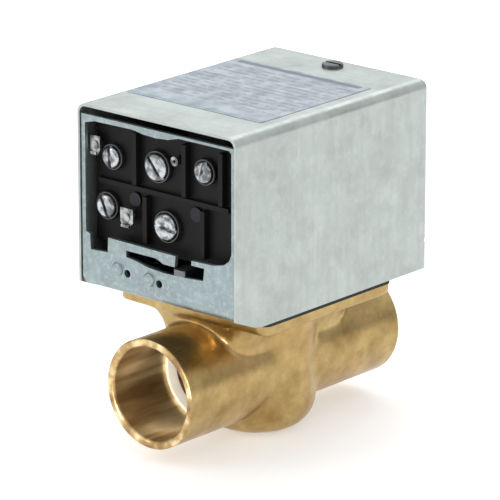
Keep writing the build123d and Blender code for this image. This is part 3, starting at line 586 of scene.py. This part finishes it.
MOUTH_ROUND, RIM_ROUND = 1.2, 0.7
INLET_BORE_END, OUTLET_BORE_END = BODY_MIDDLE - 10, BODY_MIDDLE + 16
LEAD_IN_WIDTH, LEAD_IN_DEPTH, FACING = 1.3, 2.6, 0.03     # bevel behind the stop; skim off its face
WELL_R, WELL_BOTTOM, WELL_ROUND = CHAMBER_R - 2.0, CHAMBER_BOTTOM + 5.5, 8.0
SEAT_Y, PORT_R, PORT_END = 57.66, 8.0, BODY_MIDDLE + 17
SCREW_OFFSET, SCREW_HOLE_R, SCREW_STEPS = 21.5, 2.05, 32
BEYOND, FAR = 5, 60.0      # how far a cutter stands past the casting, at least and amply
SLIVER = 0.004             # facets thinner than this are welded
SHARP_CAST = 38            # degrees; sharper edges of the casting aren't shaded smooth


def keep_largest(mesh):
    """Drops the small closed pockets that fusing leaves inside a mesh."""
    bm = bmesh.new()
    bm.from_mesh(mesh)
    left = set(bm.verts)
    islands = []
    while left:
        island, edge = set(), [left.pop()]
        while edge:
            vert = edge.pop()
            island.add(vert)
            for link in vert.link_edges:
                other = link.other_vert(vert)
                if other in left:
                    left.discard(other)
                    edge.append(other)
        islands.append(island)
    largest = max(islands, key=len)
    extra = [vert for island in islands if island is not largest for vert in island]
    bmesh.ops.delete(bm, geom=extra, context="VERTS")
    bm.to_mesh(mesh)
    bm.free()


def drop_slivers(mesh):
    """Welds the hair-thin triangles that machining leaves along its cuts."""
    bm = bmesh.new()
    bm.from_mesh(mesh)
    bmesh.ops.remove_doubles(bm, verts=bm.verts, dist=SLIVER * MM)
    bmesh.ops.dissolve_degenerate(bm, dist=SLIVER * MM, edges=bm.edges)
    bmesh.ops.triangulate(bm, faces=[face for face in bm.faces if len(face.verts) > 4])
    bm.to_mesh(mesh)
    bm.free()


def roughen(mesh):
    """The slight unevenness of a sand casting, as real relief."""
    count = len(mesh.vertices)
    places, normals = np.empty(count * 3), np.empty(count * 3)
    mesh.vertices.foreach_get("co", places)
    mesh.vertex_normals.foreach_get("vector", normals)
    places, normals = places.reshape(-1, 3), normals.reshape(-1, 3)
    for place, normal in zip(places, normals):
        point = Vector(place) / MM
        relief = sum(height * noise.noise(point / size) for height, size in (COARSE_RELIEF, FINE_RELIEF))
        place += normal * (relief - RELIEF_DROP) * MM
    mesh.vertices.foreach_set("co", places.ravel())
    mesh.update()


def rough_casting(finish):
    """Chamber, pipe, neck and flange, fused and softened as one unmachined body."""
    rough = Form()
    chamber = rounded_floor(CHAMBER_R + 0.1, CHAMBER_BOTTOM, CHAMBER_ROUND, FLANGE_BOTTOM + 1)
    rough.turned(chamber, "Z", CENTRE)
    rough.turned(drum(TUBE_R, -SPARE, BODY_END + SPARE), "Y")
    neck = []
    for more_w, more_l, height in NECK_FLARE:
        half_w, half_l = NECK_HALF_W + more_w, NECK_HALF_L + more_l
        neck.append([(x * half_w / FLANGE_HALF, BODY_MIDDLE + y * half_l / FLANGE_HALF, height)
                     for x, y in rounded_square(FLANGE_HALF, NECK_CORNER)])
    rough.shell(neck)
    plate = [(x, y + BODY_MIDDLE) for x, y in rounded_square(FLANGE_HALF, FLANGE_CORNER)]
    rough.prism(plate, FLANGE_BOTTOM, FLANGE_TOP + SPARE)
    casting = add_object("casting", rough.mesh("casting"), *finish)

    fuse = casting.modifiers.new("fuse", "REMESH")
    fuse.mode = "VOXEL"
    fuse.voxel_size = CAST_VOXEL * MM
    soften = casting.modifiers.new("soften", "SMOOTH")
    soften.factor = 0.5
    soften.iterations = CAST_SMOOTHING
    bake_modifiers(casting)
    keep_largest(casting.data)
    roughen(casting.data)
    return casting


def face_cutters():
    """What faces the flange's top and the two ends of the pipe."""
    top, faces = Form(MACHINED), Form(MACHINED)
    top.slab(-FAR, FAR, -BEYOND, BODY_END + BEYOND, FLANGE_TOP, FLANGE_TOP + 20)
    faces.slab(-FAR, FAR, -FAR, 0, -FAR, FAR)
    faces.slab(-FAR, FAR, BODY_END, BODY_END + FAR, -FAR, FAR)
    return [top.mesh("top"), faces.mesh("faces")]


def socket_cutters():
    """The sockets and waterways, and the bevel behind each socket's stop, which is given near-white brass
    as a painted highlight.
    """
    bores, lead_in = Form(MACHINED), Form(CUT)
    mouth = [(SOCKET_R + MOUTH_ROUND * (1 - math.sin(a)), MOUTH_ROUND * (1 - math.cos(a)))
             for a in quarter_turn(LIP_STEPS)]
    socket = [(AXIS_R, -BEYOND), (SOCKET_R + MOUTH_ROUND, -BEYOND), *mouth, (SOCKET_R, SOCKET_DEPTH),
              (WATERWAY_R, SOCKET_DEPTH)]
    bores.turned(socket + [(WATERWAY_R, INLET_BORE_END), (AXIS_R, INLET_BORE_END)], "Y")
    outlet = [(radius, BODY_END - place) for radius, place in socket]
    bores.turned(outlet + [(WATERWAY_R, OUTLET_BORE_END), (AXIS_R, OUTLET_BORE_END)], "Y")
    # radius and place past the stop; it starts in the open socket and stays clear of the socket's wall
    bevel = [(AXIS_R, -0.2), (SOCKET_R - 0.05, -0.2), (SOCKET_R - 0.05, FACING),
             (WATERWAY_R + LEAD_IN_WIDTH, FACING), (WATERWAY_R - 0.1, LEAD_IN_DEPTH),
             (AXIS_R, LEAD_IN_DEPTH)]
    for end, way in ((0, 1), (BODY_END, -1)):
        lead_in.turned([(radius, end + way * (SOCKET_DEPTH + place)) for radius, place in bevel], "Y")
    return [bores.mesh("bores"), lead_in.mesh("lead_in")]


def add_well(finish):
    """The chamber's inside, flat on the side where the ball seats."""
    well = Form(MACHINED)
    well.turned(rounded_floor(WELL_R, WELL_BOTTOM, WELL_ROUND, FLANGE_TOP + BEYOND), "Z", CENTRE)
    piece = add_object("well", well.mesh("well"), *finish)
    seat = Form()
    seat.slab(-30, 30, SEAT_Y, 90, -30, 40)      # past the well on every other side
    cut_away(piece, [seat.mesh("seat")])
    return piece


def fine_cutters():
    """The port in the seat, the rounded outer rims and the flange's screw holes."""
    port, rims, holes = Form(MACHINED), Form(MACHINED), Form(MACHINED)
    port.turned(drum(PORT_R, BODY_MIDDLE, PORT_END), "Y")
    edge = [(TUBE_R - RIM_ROUND * (1 - math.sin(a)), RIM_ROUND * (1 - math.cos(a)))
            for a in quarter_turn(LIP_STEPS)]
    # the rounding itself, closed off 1 mm outside the metal
    profile = [(TUBE_R - RIM_ROUND, -1.0), *edge, (TUBE_R + 1.0, RIM_ROUND), (TUBE_R + 1.0, -1.0)]
    for end, way in ((0, 1), (BODY_END, -1)):
        rims.hoop([(radius, end + way * place) for radius, place in profile])
    hole = drum(SCREW_HOLE_R, FLANGE_BOTTOM - 2, FLANGE_TOP + 2)
    for x in (-SCREW_OFFSET, SCREW_OFFSET):
        for y in (-SCREW_OFFSET, SCREW_OFFSET):
            holes.turned(hole, "Z", (x, BODY_MIDDLE + y, 0), steps=SCREW_STEPS)
    return [port.mesh("port"), rims.mesh("rims"), holes.mesh("holes")]


def add_casting(*finish):
    """The valve body, cast and then machined; finish holds its skin, machined brass with painted
    reflections and near-white cut brass that is a painted highlight.
    """
    casting = rough_casting(finish)
    well = add_well(finish)
    cut_away(casting, [*face_cutters(), *socket_cutters(), well.data, *fine_cutters()])
    bpy.data.objects.remove(well)
    drop_slivers(casting.data)
    smooth_faces(casting.data, SHARP_CAST)
    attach(casting, "root")
    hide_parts("valve_body")


# ---------------------------------------------------------------- the front plate's pressed domes

DOMES = [(-15.6, 34.7), (-3.0, 34.1)]
DOME_R, DOME_RISE, DOME_RINGS, DOME_STEPS = 2.3, 0.95, 8, 40
PLATE_FRONT, DOME_SINK = 3.9, 0.2


def add_domes(finish):
    """Two domes pressed outwards beside the small holes under the lever slot; their finish is a lighter
    copy of the plate's zinc, a painted highlight.
    """
    ball = (DOME_R ** 2 + DOME_RISE ** 2) / (2 * DOME_RISE)
    spread = math.asin(DOME_R / ball)
    arc = [spread * i / DOME_RINGS for i in range(DOME_RINGS + 1)]
    profile = [(max(AXIS_R, ball * math.sin(a)), PLATE_FRONT - DOME_RISE + ball * (1 - math.cos(a)))
               for a in arc]
    profile += [(DOME_R, PLATE_FRONT + DOME_SINK), (AXIS_R, PLATE_FRONT + DOME_SINK)]
    for number, (x, z) in enumerate(DOMES, 1):
        form = Form()
        form.turned(profile, "Y", (x, 0, z), steps=DOME_STEPS)
        dome = add_object(f"plate_dome_{number}", form.mesh("plate_dome"), finish)
        smooth_faces(dome.data, 40)
        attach(dome, "root")


# ---------------------------------------------------------------- the return spring

SPRING_POST, HOOK_PIN, SPRING_Z = (17.0, 36.0), (-10.5, 38.0), 31.0
WIRE_R, COIL_R, EYE_R, SPRING_TAIL, COIL_PITCH = 0.34, 2.05, 1.62, 2.6, 1.0
COIL_STEPS, EYE_STEPS, WIRE_STEPS = 20, 13, 10
EYE_SWEEP = 1.75           # half turns of each end loop


def spring_line(start, end):
    """The wire's middle line: an end loop, the coil and the other end loop."""
    along = (end - start).normalized()
    up = Vector((0, 0, 1))
    side = along.cross(up)
    length = (end - start).length - 2 * SPRING_TAIL
    turns = round(length / COIL_PITCH)
    line = []
    for i in range(EYE_STEPS + 1):
        angle = math.pi * (0.15 + EYE_SWEEP * i / EYE_STEPS)
        line.append(start + along * EYE_R * math.cos(angle) + side * EYE_R * math.sin(angle))
    for i in range(turns * COIL_STEPS + 1):
        angle = 2 * math.pi * i / COIL_STEPS
        line.append(start + along * (SPRING_TAIL + length * i / (turns * COIL_STEPS))
                    + (side * math.cos(angle) + up * math.sin(angle)) * COIL_R)
    for i in range(EYE_STEPS + 1):
        angle = math.pi * (0.9 - EYE_SWEEP * i / EYE_STEPS)
        line.append(end + along * EYE_R * math.cos(angle) + side * EYE_R * math.sin(angle))
    return line


def add_spring(finish):
    """A close-wound extension spring between its post and the sector's pin."""
    start, end = Vector((*SPRING_POST, SPRING_Z)), Vector((*HOOK_PIN, SPRING_Z))
    line = spring_line(start, end)
    round_wire = [2 * math.pi * k / WIRE_STEPS for k in range(WIRE_STEPS)]
    rings = []
    for i, point in enumerate(line):
        ahead = (line[min(i + 1, len(line) - 1)] - line[max(i - 1, 0)]).normalized()
        one = ahead.orthogonal().normalized() if not rings else (one - ahead * one.dot(ahead)).normalized()
        two = ahead.cross(one)
        rings.append([tuple(point + (one * math.cos(a) + two * math.sin(a)) * WIRE_R) for a in round_wire])
    form = Form()
    form.shell(rings)
    spring = add_object("spring", form.mesh("spring"), finish)
    smooth_faces(spring.data, 60)
    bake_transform(spring)
    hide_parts("return_spring")


# ---------------------------------------------------------------- the frame's own nodes

# bevel widths in millimetres
SOFT_EDGES = {"cover": 0.28, "base_frame": 0.22, "terminal_board": 0.22, "terminal_plates": 0.12,
              "terminal_clips": 0.10, "manual_lever": 0.18, "head_gasket": 0.35}


def soften_edges(piece, width):
    """Merges the flat triangles of a CAD mesh and rounds its edges a little, by modifiers alone."""
    flatten = piece.modifiers.new("flatten", "DECIMATE")
    flatten.decimate_type = "DISSOLVE"
    flatten.angle_limit = math.radians(1.0)
    bevel = piece.modifiers.new("bevel", "BEVEL")
    bevel.width = width * MM
    bevel.segments = 2
    bevel.limit_method = "ANGLE"
    bevel.angle_limit = math.radians(35)
    weld = piece.modifiers.new("weld", "WELD")
    weld.merge_threshold = SLIVER * MM
    normals = piece.modifiers.new("normals", "WEIGHTED_NORMAL")
    normals.keep_sharp = True


def make_finishes():
    """One material for each material slot of the record."""
    return {
        "cast_brass": cast_brass(),
        "rolled_brass": turned_brass_painted_reflections(),
        "galvanised_steel": galvanised("galvanised_sheet", (0.51, 0.555, 0.53)),
        "bright_steel": plain_steel("zinc_plated_steel", (0.70, 0.71, 0.72), 0.30),
        # screw heads and terminal tags get patches of painted shade
        "screw_steel": steel_with_painted_shade("screw_steel_painted_shade", (0.58, 0.60, 0.62), 0.26),
        "terminal_metal": steel_with_painted_shade("tinned_tag", (0.50, 0.51, 0.51), 0.34),
        "can_steel": plain_steel("drawn_steel", (0.55, 0.56, 0.57), 0.36),
        "magnet": plain_steel("ferrite", (0.12, 0.12, 0.13), 0.5, metallic=0.3),
        "copper_winding": plastic("winding_enamel", (0.48, 0.19, 0.06), 0.32),
        "black_phenolic": plastic("black_phenolic_moulding", (0.008, 0.0065, 0.006), 0.55, specular=0.22),
        "white_nylon": plastic("natural_nylon", (0.76, 0.73, 0.64), 0.40),
        "rubber": plastic("nitrile_rubber", (0.025, 0.025, 0.025), 0.62),
        "gasket_fibre": plastic("black_fibre", (0.03, 0.03, 0.03), 0.80),
        "label_film": label_film(),
        "lead_insulation": plastic("lead_insulation_pvc", (0.62, 0.48, 0.06), 0.38),
    }


def paint_nodes(finishes):
    """Gives every node its slot's material, or one of its own."""
    own = {
        "base_frame": galvanised("galvanised_base", (0.33, 0.395, 0.405), contrast=2.3),
        # the washers are near black, painted shade round the terminal screws
        "board_rivets": plain_steel("blackened_steel", (0.045, 0.045, 0.05), 0.45),
        "terminal_plates": plain_steel("washer_steel_painted_shade", (0.13, 0.13, 0.135), 0.40),
        "cover_screw": plain_steel("dark_screw_steel", (0.17, 0.18, 0.19), 0.34),
        "manual_lever": plain_steel("lever_steel", (0.22, 0.23, 0.24), 0.40),
    }
    for part in frame["record"]["subparts"]:
        node = part["node"]
        for slot in nodes[node].material_slots:
            slot.material = own.get(node, finishes[part["material_slot"]])


add_camera()
add_world()
for name, settings in AREA_LIGHTS.items():
    add_area_light(name, *settings)
add_socket_light()
add_stage()

finishes = make_finishes()
paint_nodes(finishes)
for name, width in SOFT_EDGES.items():
    soften_edges(nodes[name], width)
# the casting's third finish is near-white cut brass, a painted highlight on the bevels behind the socket
# stops
add_casting(finishes["cast_brass"], finishes["rolled_brass"], painted_highlight_brass())
# the domes get a lighter copy of the plate's galvanised zinc, a painted highlight
add_domes(galvanised("domes_painted_highlight", (0.42, 0.48, 0.485)))
add_spring(finishes["bright_steel"])
bpy.context.scene.view_settings.view_transform = "Standard"
